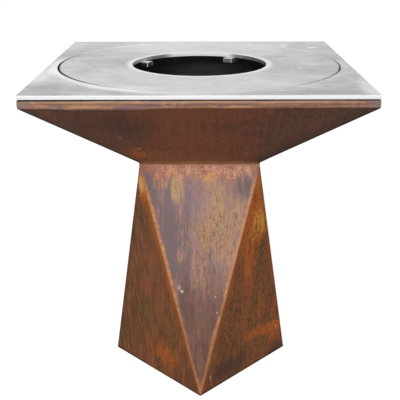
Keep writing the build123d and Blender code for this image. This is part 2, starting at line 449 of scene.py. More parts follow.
    height = up + (patches - 0.5) * 0.05 + (runs - 0.5) * 0.06 + (dashes - 0.5) * 0.04
    height -= rise(across, 0.05, 0.10) * 0.015
    height -= fall(across, -0.10, -0.06) * 0.010
    height -= fall(across, -0.145, -0.115) * 0.014
    height -= front(-0.018, 0.606, 0.040, 0.060) * 0.014
    band = rise(height + (hairs - 0.5) * 0.05, slope_length - 0.066, slope_length - 0.022)
    pits = cloud(place, (300, 210, 1), detail=2, roughness=0.6)
    band_colour = mix(rise(pits * 0.4 + dashes * 0.4 + speckle * 0.2, 0.41, 0.58), BAND_RED, BAND_PINK)
    gold = front(-0.070, 0.620, 0.022, 0.034, stray)
    gold += front(0.018, 0.618, 0.034, 0.028, stray) * 1.4
    gold += front(-0.060, 0.594, 0.020, 0.032, stray * 0.5) * 1.5
    gold = gold * 0.14 + (patches - 0.5) * 0.2 + dashes * 0.4 + speckle * 0.6
    band_colour = mix(rise(gold, 0.55, 0.70) * 0.9, band_colour, GOLD)
    band_colour = mix(fall(across, -0.15, -0.07) * 0.75, band_colour, BAND_RED)
    colour = mix(band * 0.95, colour, band_colour)

    hue = cloud(place, (52, 20, 1), detail=3, roughness=0.6)
    colour = tinted(rise(hue, 0.32, 0.68), colour, ROSE_TINT, STRAW_TINT)
    scuff = front(-0.0485, 0.3060, 0.0056, 0.0060)
    scuff += front(-0.0560, 0.3165, 0.0080, 0.0110, stray * 0.5) * 0.45
    scuff += front(0.0416, 0.2900, 0.0028, 0.0032)
    scuff += front(0.0463, 0.2445, 0.0028, 0.0032)
    colour = mix(scuff, colour, SCUFF)

    swell = cloud(place, (14, 14, 1), detail=3)
    weld = edge + (dashes - 0.5) * 0.008 + (swell - 0.5) * 0.010 - rise(up, 0.20, 0.36) * 0.0035
    weld -= fall(up, 0.0, 0.08) * 0.007
    weld -= front(0.040, 0.160, 0.060, 0.100) * 0.005
    weld = fall(weld, 0.0010, 0.0075) * fall(up, slope_length - 0.038, slope_length - 0.014)
    # Paler weld on the right-hand ridge, partly a painted highlight
    paler_weld = rise(across, 0.0, 0.03) * rise(up + (swell - 0.5) * 0.1, 0.27, 0.36)
    bead = mix(paler_weld * 0.38, weld_colour(place, up, bare=1.0), WELD_PINK)
    colour = mix(weld * glow * 0.9, colour, bead)

    normal = bump(grain * 0.5 + speckle * 0.5, 0.0004)
    return finish.surface(colour, 0.58 + tan * 0.2, normal, Specular_IOR_Level=0.25)


def corner_panel_rust():
    """Corner panels: warm brown with an upright grain, orange by the welds, yellow bloom near the top,
    welds that are partly a painted highlight and painted shade along the welds at the outline.
    """
    finish, place, across, up, edge = sheet_finish("corner_panel_rust")
    glow = finish.attribute("glow")

    patches = cloud(place, (12, 4, 1), detail=4)
    blotches = cloud(place, (34, 9, 1), detail=5, roughness=0.62)
    runs = cloud(place, (60, 6, 1), detail=5, roughness=0.65)
    streaks = cloud(place, (120, 15, 1), detail=5, roughness=0.65)
    fine_runs = cloud(place, (210, 16, 1), detail=4, roughness=0.65)
    mottle = cloud(place, (150, 80, 1), detail=4, roughness=0.7)
    grain = cloud(place, (400, 260, 1), detail=3, roughness=0.7)
    stray = (runs - 0.5) * 1.4 + (mottle - 0.5) * 1.2
    front_left = partial(oval, place, SHEETS["front_left"])
    front_right = partial(oval, place, SHEETS["front_right"])

    colour = mix(rise(patches + (blotches - 0.5) * 0.5, 0.38, 0.62), UMBER, BROWN)
    olive = rise(blotches, 0.48, 0.64) * 0.60
    olive += front_right(0.050, 0.380, 0.036, 0.090, stray) * 1.2
    olive += front_left(-0.024, 0.470, 0.044, 0.100, stray) * 0.8
    olive += front_left(-0.028, 0.180, 0.060, 0.085, stray)
    olive += front_left(0.085, 0.135, 0.030, 0.060, stray) * 0.8
    olive += front_left(0.022, 0.298, 0.030, 0.050, stray) * 0.6
    colour = mix(olive, colour, OLIVE)
    red = fall(runs * 0.5 + blotches * 0.5, 0.36, 0.48) * 0.50
    red += front_left(0.000, 0.350, 0.060, 0.130, stray) * 0.5
    red += front_right(-0.016, 0.300, 0.030, 0.140, stray) * 0.7
    colour = mix(red, colour, RED_BROWN)
    colour = mix(rise(fine_runs * 0.5 + mottle * 0.5, 0.49, 0.60) * 0.45, colour, UMBER)
    colour = mix(fall(fine_runs * 0.5 + mottle * 0.5, 0.38, 0.48) * 0.35, colour, WELD_BROWN)
    colour = mix(rise(streaks, 0.51, 0.64) * 0.68, colour, HAIR_DARK)
    colour = mix(fall(streaks, 0.36, 0.48) * 0.60, colour, HAIR_LIGHT)
    hairs = cloud(place, (300, 44, 1), detail=3, roughness=0.7)
    sharp = 0.50 - front_left(0.000, 0.530, 0.080, 0.200) * 0.08
    sharp -= front_left(0.000, 0.120, 0.260, 0.260) * 0.20
    colour = mix(rise(hairs, 0.51, 0.64) * sharp, colour, HAIR_DARK)
    colour = mix(fall(hairs, 0.36, 0.48) * sharp, colour, HAIR_LIGHT)
    specks = cloud(place, (260, 110, 1), detail=2, roughness=0.6)
    coarse = 0.20 + front_right(0.020, 0.240, 0.300, 0.420) * 0.35
    colour = mix(rise(specks, 0.52, 0.64) * coarse, colour, HAIR_DARK)
    colour = mix(fall(specks, 0.36, 0.48) * coarse, colour, HAIR_LIGHT)

    orange = rise(runs * 0.5 + blotches * 0.5 + mottle * 0.2, 0.66, 0.78) * 0.7
    orange += front_left(0.040, 0.075, 0.066, 0.050, stray)
    orange += front_right(0.114, 0.165, 0.014, 0.070, stray) * 0.8
    orange += front_right(0.010, 0.550, 0.036, 0.110, stray) * 1.2
    orange += front_right(-0.012, 0.490, 0.046, 0.100, stray) * 1.2
    orange += front_right(0.125, 0.085, 0.044, 0.056, stray * 0.6)
    orange += front_left(0.004, 0.578, 0.028, 0.080, stray) * 1.4
    tilted = up + across * 0.13 + (blotches - 0.5) * 0.04 + (mottle - 0.5) * 0.03 - 0.117
    smear = fall(tilted * tilted, 0.00002, 0.00050) * rise(across, -0.08, 0.02)
    smear *= front_right(0.085, 0.110, 0.140, 0.100)
    orange += smear * 1.6
    orange += front_right(0.008, 0.440, 0.030, 0.060, stray) * 1.4
    orange += front_right(-0.010, 0.355, 0.034, 0.080, stray) * 1.1
    orange += front_right(-0.040, 0.412, 0.022, 0.044, stray * 0.5) * 0.7
    orange += front_right(0.060, 0.190, 0.030, 0.050, stray) * 0.6
    near_ridge = fall(edge + (runs - 0.5) * 0.024 + (mottle - 0.5) * 0.014, 0.003, 0.026)
    near_ridge *= 1 - front_right(-0.062, 0.375, 0.050, 0.110) * 0.65
    colour = mix(near_ridge * glow * (0.15 + rise(up, 0.16, 0.40) * 0.50), colour, RUST_ORANGE)
    colour = mix(orange * fall(fine_runs + (mottle - 0.5) * 0.8, 0.34, 0.70), colour, RUST_ORANGE)
    colour = mix(smear * fall(mottle, 0.36, 0.46) * rise(across, 0.08, 0.13), colour, WELD_TAN)

    shade = front_right(-0.010, 0.578, 0.016, 0.040, stray * 0.4)
    colour = mix(shade * 0.35, colour, UMBER)
    bloom = front_right(0.016, 0.485, 0.030, 0.070, stray)
    bloom += front_right(0.000, 0.470, 0.024, 0.056, stray)
    bloom += front_right(0.032, 0.470, 0.024, 0.044, stray)
    bloom += front_left(0.000, 0.602, 0.034, 0.064, stray * 0.6)
    bloom += rise(up + (patches - 0.5) * 0.3, 0.47, 0.56) * rise(runs, 0.54, 0.70) * 0.6
    colour = mix(bloom * fall(fine_runs + (mottle - 0.5) * 0.4, 0.34, 0.66), colour, RUST_YELLOW)

    cast = front_left(-0.010, 0.390, 0.140, 0.280, stray * 0.3)
    colour = mix(cast * 0.22, colour, MAUVE)
    hue = cloud(place, (44, 16, 1), detail=3, roughness=0.6)
    colour = tinted(rise(hue, 0.38, 0.62), colour, ROSE_TINT, STRAW_TINT)
    damp = front_right(-0.070, 0.045, 0.100, 0.045, stray)
    damp += front_right(0.150, 0.005, 0.060, 0.030, stray)
    damp += front_left(0.150, 0.035, 0.040, 0.060, stray) * 0.5
    damp += front_left(-0.052, 0.460, 0.014, 0.100, stray * 0.5)
    colour = mix(damp * 0.75, colour, EDGE_DARK)
    nick = front_right(-0.1455, 0.043, 0.0030, 0.0170)
    colour = mix(nick, colour, KHAKI)
    # Painted shade along the welds at the outline, where the ridge highlight is low
    painted_edge_light_and_shade = fall(edge + (grain - 0.5) * 0.006, 0.003, 0.015) * (1 - glow)
    colour = mix(painted_edge_light_and_shade * 0.75, colour, EDGE_DARK)
    gilt = front_left(0.002, 0.594, 0.018, 0.038, stray * 0.5)
    colour = mix(gilt * 0.85, colour, GOLD)
    fresh = front_right(-0.002, 0.598, 0.020, 0.044, stray * 0.5)
    colour = mix(fresh * 0.8, colour, WELD_ORANGE)
    # Weld, partly a painted highlight, dimmed at the outline
    weld = fall(edge + (mottle - 0.5) * 0.005 + (blotches - 0.5) * 0.006, 0.0008, 0.0050)
    colour = mix(weld * glow * 0.85, colour, weld_colour(place, up, bare=0.25))
    apex = rise(up, 0.623, 0.635) * glow
    colour = mix(apex * 0.75, colour, EDGE_DARK)
    foot = fall(up + (grain - 0.5) * 0.006 + (blotches - 0.5) * 0.012, 0.002, 0.010)
    foot *= 0.8 - front_left(0.040, 0.000, 0.160, 0.100) * 0.4
    colour = mix(foot, colour, FOOT_DARK)

    normal = bump(grain * 0.6 + fine_runs * 0.4, 0.0004)
    return finish.surface(colour, 0.64 + grain * 0.2, normal, Specular_IOR_Level=0.22)


def bowl_rust():
    """Outside of the bowl: dark brown slope, tan, mauve and orange lip with a painted highlight along its
    top, painted shade under the plate.
    """
    finish, place, across, up, edge = sheet_finish("bowl_rust")

    patches = cloud(place, (5, 8, 1), detail=4)
    stains = cloud(place, (18, 12, 1), detail=4)
    runs = cloud(place, (75, 8, 1), detail=4)
    grain = cloud(place, (300, 260, 1), detail=3, roughness=0.7)
    specks = cloud(place, (60, 78, 1), detail=1)

    aside = rise(across * across, 0.006, 0.042) * 0.21
    olive = rise(patches + aside + (stains - 0.5) * 0.35 + (runs - 0.5) * 0.3, 0.46, 0.72)
    colour = mix(olive * 0.85, BOWL_BROWN, BOWL_OLIVE)
    colour = mix(rise(stains + (runs - 0.5) * 0.9 - aside, 0.44, 0.68) * 0.5, colour, BOWL_RED)
    flecks = cloud(place, (170, 60, 1), detail=3, roughness=0.65)
    colour = mix(rise(grain + (runs - 0.5) * 0.5, 0.48, 0.66) * 0.50, colour, BOWL_OLIVE)
    colour = mix(rise(flecks, 0.52, 0.64) * 0.40, colour, BOWL_DARK)
    colour = mix(fall(flecks, 0.36, 0.46) * 0.40, colour, BOWL_RED)
    shades = cloud(place, (85, 7, 1), detail=4, roughness=0.6)
    colour = mix(rise(shades, 0.50, 0.66) * 0.28, colour, BOWL_DARK)
    colour = mix(fall(shades, 0.34, 0.48) * 0.24, colour, BOWL_RED)
    colour = mix(rise(specks, 0.70, 0.78) * 0.6, colour, PALE_SPECK)
    warm = fall(up + (stains - 0.5) * 0.10, 0.06, 0.20) * fall(across, -0.02, 0.10)
    colour = mix(warm * 0.35, colour, BOWL_RED)
    stray = (flecks - 0.5) * 1.6 + (grain - 0.5) * 1.2
    front = partial(oval, place, SHEETS["front"])
    ruddy = front(-0.045, 0.190, 0.090, 0.150, (runs - 0.5) * 1.2)
    colour = mix(ruddy * 0.30, colour, BOWL_RED)
    dim = front(-0.190, 0.232, 0.110, 0.070, stray)
    colour = mix(dim * 0.5, colour, BOWL_DARK)
    orange = front(-0.154, 0.054, 0.030, 0.032, stray * 1.6)
    orange += front(-0.172, 0.078, 0.034, 0.020, stray * 1.6) * 0.5
    colour = mix(orange * 0.62, colour, RUST_ORANGE)
    dust = fall(up + (stains - 0.5) * 0.10, 0.02, 0.09) * fall(across, 0.0, 0.16)
    colour = mix(dust * 0.07, colour, HONEY)
    lichen = front(-0.186, 0.090, 0.026, 0.030, stray)
    colour = mix(lichen * 0.5, colour, OLIVE)
    chip = front(-0.150, 0.094, 0.010, 0.010, stray * 0.5)
    chip += front(-0.190, 0.157, 0.010, 0.014, stray * 0.5) * 0.6
    colour = mix(chip * 0.6, colour, PALE_SPECK)
    foot = fall(up + (runs - 0.5) * 0.006, 0.009, 0.014)
    bare = rise(cloud(place, (9, 4, 1), detail=3), 0.40, 0.62)
    colour = mix(foot * (0.25 + bare * 0.5), colour, LIP_ORANGE)
    hip = fall(edge + (stains - 0.5) * 0.02, 0.002, 0.060)
    colour = mix(hip * 0.45, colour, BOWL_OLIVE)
    colour = mix(fall(edge, 0.005, 0.015) * 0.8, colour, GRIME_AND_SHADE)
    right_hip = fall(edge + (stains - 0.5) * 0.03, 0.004, 0.070) * rise(across, 0.05, 0.15)
    colour = mix(right_hip * 0.5, colour, GRIME_AND_SHADE)

    streaks = cloud(place, (7, 250, 1), detail=4, roughness=0.6)
    tints = cloud(place, (7, 110, 1), detail=4)
    lip_colour = mix(rise(streaks, 0.38, 0.62), LIP_BROWN, LIP_TAN)
    lip_colour = mix(rise(tints, 0.50, 0.62) * 0.9, lip_colour, LIP_MAUVE)
    lip_colour = mix(fall(tints, 0.34, 0.46) * 0.6, lip_colour, LIP_ORANGE)
    blotches = cloud(place, (34, 60, 1), detail=4, roughness=0.7)
    lip_colour = mix(rise(blotches, 0.51, 0.62) * 0.7, lip_colour, LIP_MAUVE)
    lip_colour = mix(fall(blotches, 0.38, 0.48) * 0.8, lip_colour, LIP_GOLD)
    lip_colour = mix(rise(grain, 0.50, 0.66) * 0.35, lip_colour, LIP_BROWN)
    lip_colour = mix(rise(across, -0.10, 0.30) * 0.35, lip_colour, LIP_BROWN)
    lip_stray = (blotches - 0.5) * 1.2
    mauve = front(-0.140, slope_run + 0.006, 0.080, 0.008, lip_stray)
    lip_colour = mix(mauve * 0.8, lip_colour, LIP_MAUVE)
    gilt = front(-0.245, slope_run + 0.008, 0.060, 0.012, lip_stray)
    gilt += front(0.090, slope_run + 0.005, 0.055, 0.006, lip_stray)
    lip_colour = mix(gilt * 0.8, lip_colour, LIP_GOLD)
    grey = front(-0.345, slope_run + 0.001, 0.080, 0.007, (blotches - 0.5) * 0.8)
    lip_colour = mix(grey * 0.5, lip_colour, LIP_GREY)
    # Painted highlight along the top of the lip
    lip_top_highlight = up - slope_run - 0.0165 + (tints - 0.5) * 0.005
    lip_top_highlight = fall(lip_top_highlight * lip_top_highlight, 1e-6, 9e-6) * fall(across + (blotches - 0.5) * 0.2, 0.25, 0.38)
    lip_colour = mix(lip_top_highlight * 0.48, lip_colour, LIP_HIGHLIGHT)
    dull = up - slope_run - 0.0112 + (tints - 0.5) * 0.006
    lip_colour = mix(fall(dull * dull, 1e-6, 9e-6) * 0.5, lip_colour, LIP_BROWN)
    lip_colour = mix(fall(edge, 0.010, 0.045) * 0.75, lip_colour, LIP_GREY)
    fold = slope_run + rise(across, -0.17, -0.05) * 0.0024
    fold -= rise(across, -0.345, -0.295) * fall(across, -0.13, -0.08) * 0.0045
    lip = rise(up + (stains - 0.5) * 0.003 - fold, 0.0005, 0.0025)
    colour = mix(lip, colour, lip_colour)
    # Painted shade under the plate: dark from the top of the lip's flat over the bend and the flange
    under_plate_shade = up + (stains - 0.5) * 0.003 - rise(across, -0.30, -0.15) * 0.0009 - under_plate_shade_run
    colour = mix(rise(under_plate_shade, 0.0, 0.0016), colour, GRIME_AND_SHADE)

    return finish.surface(colour, 0.66 + grain * 0.2, bump(grain, 0.0004), Specular_IOR_Level=0.2)


def bowl_soot():
    """Inside of the bowl: soot with faint brown, painted paler just below the flange to lift the shade
    there.
    """
    finish, place = solid_finish("bowl_soot")
    patches = cloud(place, (14, 14, 14), detail=5, roughness=0.65)
    grain = cloud(place, (260, 260, 260), detail=2)
    colour = mix(rise(patches, 0.45, 0.70), SOOT, BROWN_SOOT)
    # Painted light: paler just below the flange, lifting the shade under the plate and ring
    high = rise(axis(place, 2) + (patches - 0.5) * 0.02, flange_z - 0.080, flange_z - 0.030)
    colour = mix(high, colour, PAINTED_LIFT_GREY)
    normal = bump(grain + patches, 0.0006)
    return finish.surface(colour, 0.85 + grain * 0.1, normal, Specular_IOR_Level=0.15)


def clamped_plate_rust():
    """Square plates between bowl and pedestal: pale cut edges, the bowl floor's edges browner as painted
    shade under the slope, soot where they face the fire.
    """
    finish, place = solid_finish("clamped_plate_rust")
    level = finish.facing_up()
    height = axis(place, 2)
    patches = cloud(place, (24, 24, 60), detail=4)
    grain = cloud(place, (320, 320, 320), detail=3, roughness=0.7)
    over_joint = height - pedestal_height - PEDESTAL_TOP
    # Painted shade: the bowl floor's edges, under the bowl's slope, browner than those of the pedestal's
    # top plate
    upper_edge_shade = rise(over_joint, -0.0005, 0.0005)
    colour = mix(upper_edge_shade, LOWER_EDGE_PINK, UPPER_EDGE_SHADE)
    colour = mix(rise(patches, 0.40, 0.66) * 0.5, colour, LIP_BROWN)
    colour = mix(grain * 0.3, colour, BROWN)
    colour = mix(rise(level, 0.5, 0.9), colour, SOOT)
    return finish.surface(colour, 0.65 + grain * 0.2, bump(grain, 0.0003), Specular_IOR_Level=0.2)


def foot_rust():
    """Flat bars inside the foot: plain even rust."""
    finish, place = solid_finish("foot_rust")
    patches = cloud(place, (22, 22, 22), detail=4)
    grain = cloud(place, (300, 300, 300), detail=3, roughness=0.7)
    colour = mix(rise(patches, 0.38, 0.66), BROWN, RUST_ORANGE)
    colour = mix(grain * 0.5, colour, UMBER)
    return finish.surface(colour, 0.7 + grain * 0.2, bump(grain, 0.0004), Specular_IOR_Level=0.2)


def bare_plate_steel():
    """Plate and ring: clouded, finely brushed steel with a painted sheen, polished beside the joint, with
    painted highlights, painted light and painted shade about the joint and the hole, and bright cut edges.
    """
    finish, place = solid_finish("bare_plate_steel")
    level = finish.facing_up()
    clouds = cloud(place, (4.5, 4.5, 4.5), detail=5, roughness=0.58, distortion=0.5)
    smears = cloud(place, (6, 26, 6), detail=4, roughness=0.6)
    brushing = cloud(place, (16, 420, 16), detail=3, roughness=0.6)
    colour = mix(rise(clouds, 0.34, 0.66), ROLLED_GREY, ROLLED_PALE)
    colour = mix(rise(smears, 0.52, 0.74) * 0.5, colour, SHINE)
    colour = mix(rise(brushing, 0.45, 0.75) * 0.22, colour, BRUSHED_GREY)
    strokes = cloud(place, (14, 110, 14), detail=2, roughness=0.6)
    colour = mix(rise(strokes, 0.50, 0.66) * 0.22, colour, SHINE)
    colour = mix(fall(strokes, 0.34, 0.48) * 0.18, colour, DULL_STEEL)
    colour = mix(rise(cloud(place, (55, 30, 30), detail=4), 0.50, 0.68) * 0.28, colour, DULL_STEEL)
    flat = vector("MULTIPLY", place, (1, 1, 0))
    patch = partial(oval, flat, 0.0)
    stray = (clouds - 0.5) * 1.5
    radius = length(flat)
    across = axis(place, 0)
    back = axis(place, 1)
    sheen = axis(vector("NORMALIZE", flat), 1)
    sheen *= sheen
    # Painted sheen: the ring brighter towards its front and back, and the plate brighter towards its back
    colour = mix(sheen * fall(radius, OPENING_RADIUS - 0.004, OPENING_RADIUS) * 0.5, colour, SHINE)
    colour = mix(rise(back, 0.05, 0.40) * 0.22, colour, SHINE)
    # Polish beside the joint, partly a painted highlight
    beside = rise(radius, OPENING_RADIUS - 0.001, OPENING_RADIUS)
    beside *= fall(radius + (clouds - 0.5) * 0.04, OPENING_RADIUS + 0.009, OPENING_RADIUS + 0.035)
    beside *= fall(back, -0.02, 0.14) * (0.15 + fall(across, -0.25, 0.18) * 0.80)
    smear = patch(-0.210, -0.305, 0.080, 0.045, stray)
    colour = mix(smear * 0.5, colour, SHINE)
    dull = patch(-0.295, -0.120, 0.075, 0.110, stray)
    dull += patch(0.310, -0.100, 0.060, 0.110, stray) * 0.8
    colour = mix(dull * 0.35, colour, DULL_STEEL)
    # Painted highlight around the ring's hole
    rim = fall(radius + (clouds - 0.5) * 0.02, HOLE_RADIUS + 0.003, HOLE_RADIUS + 0.022)
    # Painted highlight patches on the plate
    highlight_patches = patch(-0.385, -0.175, 0.040, 0.150, stray)
    # Painted highlight along the back of the joint
    painted_edge_light_and_shade = rise(radius, OPENING_RADIUS - 0.001, OPENING_RADIUS) * rise(back, 0.10, 0.24)
    painted_edge_light_and_shade *= fall(radius, OPENING_RADIUS + 0.004, OPENING_RADIUS + 0.010)
    painted_edge_light_and_shade *= (0.3 + rise(smears, 0.40, 0.56) * 0.7) * (0.2 + fall(across, -0.10, 0.12) * 0.8)
    corner = patch(-0.345, -0.305, 0.100, 0.085, stray) * 0.55
    corner += patch(0.305, -0.385, 0.100, 0.055, stray) * 0.40
    colour = mix(corner, colour, DULL_STEEL)
    highlight_patches += patch(0.392, -0.330, 0.034, 0.130, clouds - 0.5) * 0.8
    highlight_patches += patch(-0.135, -0.328, 0.070, 0.036, clouds - 0.5) * 0.6
    mark = patch(0.258, 0.305, 0.020, 0.022) + patch(0.342, 0.270, 0.024, 0.022)
    # Polish, marks and painted highlights, brightened together
    colour = mix((beside + painted_edge_light_and_shade + mark * 0.8 + rim * 0.9 + highlight_patches * 0.7) * 0.9, colour, POLISH_AND_HIGHLIGHT)
    # Painted shadow on the ring's outer rim beside the joint, strongest at the left
    shadow = rise(radius, OPENING_RADIUS - 0.0080, OPENING_RADIUS - 0.0065)
    shadow *= fall(radius, OPENING_RADIUS, OPENING_RADIUS + 0.001)
    shadow *= fall(back, -0.02, 0.06) * rise(back, -0.33, -0.20)
    colour = mix(shadow * (0.3 + fall(across, -0.30, 0.10) * 0.5), colour, JOINT_SHADE)

    cut_edge = fall(level * level, 0.2, 0.7)
    # Painted highlight: the cut edges whiter towards their top
    arris = rise(axis(place, 2), plate_z - 0.0060, plate_z - 0.0020)
    colour = mix(cut_edge, colour, mix(arris, CUT_STEEL, WHITE))
    # Painted light and shade on the wall of the ring's hole: white at the back, greyer towards the sides
    # and darker to the right
    hole_wall = cut_edge * fall(radius, HOLE_RADIUS + 0.001, HOLE_RADIUS + 0.002)
    end_wall = mix(rise(sheen, 0.25, 0.50), HOLE_LEFT, HOLE_FAR_LEFT)
    end_wall = mix(rise(across, -0.10, 0.10), end_wall, HOLE_RIGHT)
    end_wall = mix(rise(across, 0.110, 0.140), end_wall, HOLE_FAR_RIGHT)
    colour = mix(hole_wall, colour, mix(rise(sheen, 0.66, 0.86), end_wall, WHITE))
    # Painted shade on the cut walls inside the joint's gap, lighter at the front left
    joint = rise(radius, OPENING_RADIUS - 0.006, OPENING_RADIUS - 0.005)
    joint *= fall(radius, OPENING_RADIUS + 0.001, OPENING_RADIUS + 0.002)
    joint *= fall(back, 0.05, 0.22) * fall(across, -0.20, 0.70)
    joint *= 0.2 + rise(back, -0.34, -0.25) * 0.8
    colour = mix(cut_edge * joint, colour, JOINT_SHADE)
    normal = bump(brushing, 0.00006)
    return finish.surface(colour, 0.36 + clouds * 0.10 + brushing * 0.06, normal, Metallic=1 - cut_edge)


def lug_steel():
    """Lugs and pins: grey bar, painted dark as shade on the left, with painted highlights along its edges,
    ends and top.
    """
    finish, place = solid_finish("lug_steel")
    patches = cloud(place, (60, 60, 60), detail=4)
    grain = cloud(place, (500, 500, 500), detail=3, roughness=0.7)
    colour = mix(rise(patches, 0.38, 0.62), LUG_GREY, LUG_DARK)
    colour = mix(grain * 0.3, colour, LUG_PALE)
    # Painted shade on the lugs on the left
    colour = mix(fall(axis(place, 0), -0.05, 0.05) * 0.88, colour, LUG_SHADE)
    along = (math.cos(LUG_TURN), math.sin(LUG_TURN), 0.0)
    sideways = (-math.sin(LUG_TURN), math.cos(LUG_TURN), 0.0)
    first = abs(vector("DOT_PRODUCT", place, along, output=1))
    second = abs(vector("DOT_PRODUCT", place, sideways, output=1))
    # Painted highlights along the lugs' edges, ends and top
    side = rise(smaller(first, second), LUG_WIDTH / 2 - HIGHLIGHT_ENDS, LUG_WIDTH / 2 - HIGHLIGHT_FULL)
    tip = fall(larger(first, second), LUG_TIP + HIGHLIGHT_FULL, LUG_TIP + HIGHLIGHT_ENDS)
    top = rise(axis(place, 2), flange_z - HIGHLIGHT_ENDS, flange_z - HIGHLIGHT_FULL)
    colour = mix(smaller(side * tip + top * 0.8, 1.0), colour, LUG_HIGHLIGHT)
    return finish.surface(colour, 0.45 + grain * 0.2, bump(grain, 0.0001), Metallic=0.3)


def sooted_grate_steel():
    """Fire grate: heat-scaled steel, black with brown and grey bloom."""
    finish, place = solid_finish("sooted_grate_steel")
    patches = cloud(place, (35, 35, 35), detail=4)
    grain = cloud(place, (420, 420, 420), detail=3, roughness=0.7)
    colour = mix(rise(patches, 0.46, 0.66), SCALE_BLACK, SCALE_BROWN)
    colour = mix(rise(grain + patches * 0.5, 0.82, 1.0) * 0.5, colour, SCALE_GREY)
    return finish.surface(colour, 0.62 + grain * 0.2, bump(grain + patches, 0.0005), Metallic=0.3)


def zinc_plating():
    """Bolts, washers and nuts: dulled zinc with faint yellow."""
    finish, place = solid_finish("zinc_plating")
    patches = cloud(place, (120, 120, 120), detail=4)
    grain = cloud(place, (900, 900, 900), detail=2)
    colour = mix(rise(patches, 0.40, 0.64), ZINC, YELLOWED_ZINC)
    return finish.surface(colour, 0.34 + patches * 0.2, bump(grain, 0.00005), Metallic=1.0)


# Shapes
def around(radius, angle, height=0.0):
    """Point at a radius, an angle from +X and a height."""
    return Vector((radius * math.cos(math.radians(angle)), radius * math.sin(math.radians(angle)), height))


def ease(share):
    """0 at 0 and 1 at 1, level at both."""
    share = min(max(share, 0.0), 1.0)
    return share * share * (3 - 2 * share)


def make_piece(node, points, faces, finishes, finish_of_face, places, edges, glows):
    """Closed mesh in place of a node of the stand, with the attributes that its finishes read."""
    name = f"{node}_sheet"
    mesh = bpy.data.meshes.new(name)
    mesh.from_pydata(points, [], faces)
    mesh.attributes.new("sheet", "FLOAT_VECTOR", "POINT").data.foreach_set(
        "vector", [number for place in places for number in place]
    )
    mesh.attributes.new("edge", "FLOAT", "POINT").data.foreach_set("value", edges)
    mesh.attributes.new("glow", "FLOAT", "POINT").data.foreach_set("value", glows)
    for finish in finishes:
        mesh.materials.append(finish)
    mesh.polygons.foreach_set("material_index", finish_of_face)
    work = bmesh.new()
    work.from_mesh(mesh)
    bmesh.ops.recalc_face_normals(work, faces=work.faces)
    work.to_mesh(mesh)
    work.free()
    mesh.shade_smooth()
    mesh.set_sharp_from_angle(angle=SHARP_ANGLE)
    piece = bpy.data.objects.new(name, mesh)
    bpy.context.scene.collection.objects.link(piece)
    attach(piece, "stand")
    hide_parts(node)


# Pedestal panels
def side_triangle(angle):
    """Base point and top corners of a side's panel, anticlockwise from outside."""
    right = around(top_reach, angle + 45, pedestal_height)
    left = around(top_reach, angle - 45, pedestal_height)
    return around(base_reach, angle), right, left


def corner_triangle(angle):
    """Top point and base corners of a corner's panel, anticlockwise from outside."""
    left = around(base_reach, angle - 45)
    right = around(base_reach, angle + 45)
    return around(top_reach, angle, pedestal_height), left, right


def outward(triangle):
    """Unit normal of a panel, away from the middle."""
    point, second, third = triangle
    return (second - point).cross(third - point).normalized()


def ground_ridge(point, end, share, inward, facing, past, row_width):
    """Half of a rounded ridge at a share of its length: points from its crest onto the sheet."""
    foot = point.lerp(end, share)
    half_turn = facing.angle(past) / 2
    from_end = min(share, 1 - share) * (end - point).length
    wave = 1 + RIDGE_WAVE * noise.noise(foot * RIDGE_WAVES_PER_METRE)
    radius = RIDGE_RADIUS * wave * (RIDGE_END + (1 - RIDGE_END) * ease(from_end / RIDGE_FADE))
    radius = min(radius, row_width / 4 / math.tan(half_turn))
    centre = foot + inward * radius * math.tan(half_turn) - facing * radius
    turns = [half_turn * (1 - step / RIDGE_STEPS) for step in range(RIDGE_STEPS + 1)]
    return [centre + (facing * math.cos(turn) - inward * math.sin(turn)) * radius for turn in turns]


